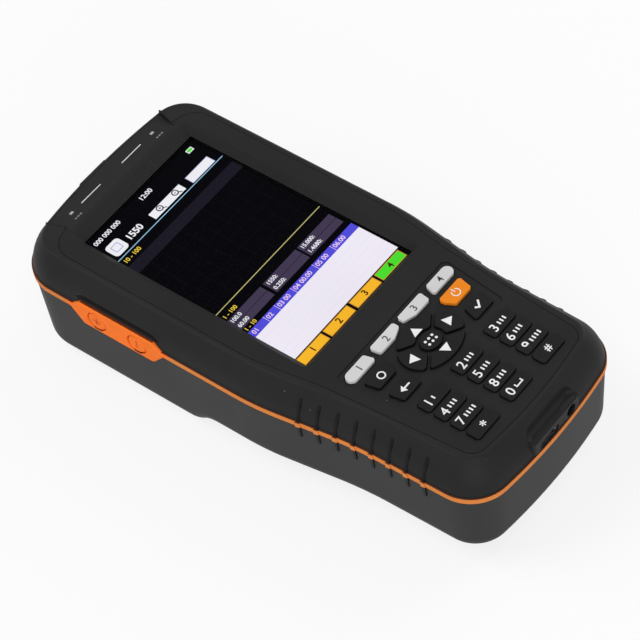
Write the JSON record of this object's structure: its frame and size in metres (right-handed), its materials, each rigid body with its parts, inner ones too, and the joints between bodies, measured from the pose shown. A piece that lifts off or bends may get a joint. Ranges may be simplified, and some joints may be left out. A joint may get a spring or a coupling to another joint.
{
  "type": "handheld optical time domain reflectometer",
  "caption": "Handheld fibre tester with a colour display above a keypad, side volume keys, an orange seal between two shells, and fibre ports under a hinged dust cover.",
  "frame": {"origin": "on the resting plane, under the middle of the body, with the instrument on its back", "axes": "+Z out of the faceplate, +X to the user's right, +Y from the sockets at the grip end towards the optical ports"},
  "size_m": [0.0842, 0.1807, 0.0452],
  "materials": {
    "charcoal_shell": "fine matte texture",
    "grey_shell": "fine matte texture",
    "charcoal_face": "fine matte texture",
    "orange_rubber": "satin",
    "display_glass": "clear, polished",
    "display_frame": "dull",
    "membrane": "satin",
    "circuit_board": "solder resist over glass fibre board",
    "socket_plastic": "moulded",
    "socket_steel": "tinned",
    "shield_steel": "tinned sheet",
    "brass": "turned",
    "module_aluminium": "cast, bead blasted",
    "battery_wrap": "shrink wrap",
    "grey_rubber": "satin",
    "nickel": "nickel plated",
    "cover_rubber": "satin",
    "pin_steel": "drawn wire",
    "light_pipe": "clear acrylic, fine grained end",
    "screw_steel": "black zinc",
    "key_rubber": "satin",
    "key_white": "satin",
    "key_orange": "satin"
  },
  "bodies": {
    "housing": {"front_housing": "charcoal_shell", "rear_housing": "grey_shell", "end_cap": "grey_shell", "seal_strip": "orange_rubber", "faceplate": "charcoal_face", "display_window": "display_glass", "display_module": "display_frame", "keypad_mat": "membrane", "key_board": "circuit_board", "board_connector": "socket_plastic", "main_board": "circuit_board", "board_shield": "shield_steel", "board_standoffs": "brass", "optical_module": "module_aluminium", "battery_pack": "battery_wrap", "battery_contacts": "socket_plastic", "battery_cover": "grey_shell", "tail_foot": "grey_rubber", "dc_jack": "socket_plastic", "usb_socket": "socket_steel", "otdr_adapter": "nickel", "vfl_adapter": "nickel", "port_cover_pin": "pin_steel", "side_switches": "socket_plastic", "status_lights": "light_pipe", "case_screws": "screw_steel", "cover_screws": "screw_steel"},
    "key_f1": {"key_f1": "key_white"},
    "key_f2": {"key_f2": "key_white"},
    "key_f3": {"key_f3": "key_white"},
    "key_f4": {"key_f4": "key_white"},
    "key_off": {"key_off": "key_rubber"},
    "key_esc": {"key_esc": "key_rubber"},
    "key_power": {"key_power": "key_orange"},
    "key_ok": {"key_ok": "key_rubber"},
    "key_1": {"key_1": "key_rubber"},
    "key_2": {"key_2": "key_rubber"},
    "key_3": {"key_3": "key_rubber"},
    "key_4": {"key_4": "key_rubber"},
    "key_5": {"key_5": "key_rubber"},
    "key_6": {"key_6": "key_rubber"},
    "key_7": {"key_7": "key_rubber"},
    "key_8": {"key_8": "key_rubber"},
    "key_9": {"key_9": "key_rubber"},
    "key_star": {"key_star": "key_rubber"},
    "key_0": {"key_0": "key_rubber"},
    "key_hash": {"key_hash": "key_rubber"},
    "key_up": {"key_up": "key_rubber"},
    "key_down": {"key_down": "key_rubber"},
    "key_left": {"key_left": "key_rubber"},
    "key_right": {"key_right": "key_rubber"},
    "key_centre": {"key_centre": "key_rubber"},
    "side_key_plus": {"side_key_plus": "orange_rubber"},
    "side_key_minus": {"side_key_minus": "orange_rubber"},
    "port_cover": {"port_cover": "cover_rubber"}
  },
  "joints": [
    {"name": "key_f1_press", "type": "slide", "parent": "housing", "child": "key_f1", "axis": [0, 0, -1], "range_m": [0, 0.0008], "stiffness_N_per_m": 1200},
    {"name": "key_f2_press", "type": "slide", "parent": "housing", "child": "key_f2", "axis": [0, 0, -1], "range_m": [0, 0.0008], "stiffness_N_per_m": 1200},
    {"name": "key_f3_press", "type": "slide", "parent": "housing", "child": "key_f3", "axis": [0, 0, -1], "range_m": [0, 0.0008], "stiffness_N_per_m": 1200},
    {"name": "key_f4_press", "type": "slide", "parent": "housing", "child": "key_f4", "axis": [0, 0, -1], "range_m": [0, 0.0008], "stiffness_N_per_m": 1200},
    {"name": "key_off_press", "type": "slide", "parent": "housing", "child": "key_off", "axis": [0, 0, -1], "range_m": [0, 0.0008], "stiffness_N_per_m": 1200},
    {"name": "key_esc_press", "type": "slide", "parent": "housing", "child": "key_esc", "axis": [0, 0, -1], "range_m": [0, 0.0008], "stiffness_N_per_m": 1200},
    {"name": "key_power_press", "type": "slide", "parent": "housing", "child": "key_power", "axis": [0, 0, -1], "range_m": [0, 0.0008], "stiffness_N_per_m": 1200},
    {"name": "key_ok_press", "type": "slide", "parent": "housing", "child": "key_ok", "axis": [0, 0, -1], "range_m": [0, 0.0008], "stiffness_N_per_m": 1200},
    {"name": "key_1_press", "type": "slide", "parent": "housing", "child": "key_1", "axis": [0, 0, -1], "range_m": [0, 0.0008], "stiffness_N_per_m": 1200},
    {"name": "key_2_press", "type": "slide", "parent": "housing", "child": "key_2", "axis": [0, 0, -1], "range_m": [0, 0.0008], "stiffness_N_per_m": 1200},
    {"name": "key_3_press", "type": "slide", "parent": "housing", "child": "key_3", "axis": [0, 0, -1], "range_m": [0, 0.0008], "stiffness_N_per_m": 1200},
    {"name": "key_4_press", "type": "slide", "parent": "housing", "child": "key_4", "axis": [0, 0, -1], "range_m": [0, 0.0008], "stiffness_N_per_m": 1200},
    {"name": "key_5_press", "type": "slide", "parent": "housing", "child": "key_5", "axis": [0, 0, -1], "range_m": [0, 0.0008], "stiffness_N_per_m": 1200},
    {"name": "key_6_press", "type": "slide", "parent": "housing", "child": "key_6", "axis": [0, 0, -1], "range_m": [0, 0.0008], "stiffness_N_per_m": 1200},
    {"name": "key_7_press", "type": "slide", "parent": "housing", "child": "key_7", "axis": [0, 0, -1], "range_m": [0, 0.0008], "stiffness_N_per_m": 1200},
    {"name": "key_8_press", "type": "slide", "parent": "housing", "child": "key_8", "axis": [0, 0, -1], "range_m": [0, 0.0008], "stiffness_N_per_m": 1200},
    {"name": "key_9_press", "type": "slide", "parent": "housing", "child": "key_9", "axis": [0, 0, -1], "range_m": [0, 0.0008], "stiffness_N_per_m": 1200},
    {"name": "key_star_press", "type": "slide", "parent": "housing", "child": "key_star", "axis": [0, 0, -1], "range_m": [0, 0.0008], "stiffness_N_per_m": 1200},
    {"name": "key_0_press", "type": "slide", "parent": "housing", "child": "key_0", "axis": [0, 0, -1], "range_m": [0, 0.0008], "stiffness_N_per_m": 1200},
    {"name": "key_hash_press", "type": "slide", "parent": "housing", "child": "key_hash", "axis": [0, 0, -1], "range_m": [0, 0.0008], "stiffness_N_per_m": 1200},
    {"name": "key_up_press", "type": "slide", "parent": "housing", "child": "key_up", "axis": [0, 0, -1], "range_m": [0, 0.0008], "stiffness_N_per_m": 1200},
    {"name": "key_down_press", "type": "slide", "parent": "housing", "child": "key_down", "axis": [0, 0, -1], "range_m": [0, 0.0008], "stiffness_N_per_m": 1200},
    {"name": "key_left_press", "type": "slide", "parent": "housing", "child": "key_left", "axis": [0, 0, -1], "range_m": [0, 0.0008], "stiffness_N_per_m": 1200},
    {"name": "key_right_press", "type": "slide", "parent": "housing", "child": "key_right", "axis": [0, 0, -1], "range_m": [0, 0.0008], "stiffness_N_per_m": 1200},
    {"name": "key_centre_press", "type": "slide", "parent": "housing", "child": "key_centre", "axis": [0, 0, -1], "range_m": [0, 0.0008], "stiffness_N_per_m": 1200},
    {"name": "side_key_plus_press", "type": "slide", "parent": "housing", "child": "side_key_plus", "axis": [1, 0, 0], "range_m": [0, 0.0006], "stiffness_N_per_m": 1500},
    {"name": "side_key_minus_press", "type": "slide", "parent": "housing", "child": "side_key_minus", "axis": [1, 0, 0], "range_m": [0, 0.0006], "stiffness_N_per_m": 1500},
    {"name": "port_cover_hinge", "type": "hinge", "parent": "housing", "child": "port_cover", "pos_m": [0, 0.0873, 0.0112], "axis": [-1, 0, 0], "range_deg": [0, 110]}
  ]
}
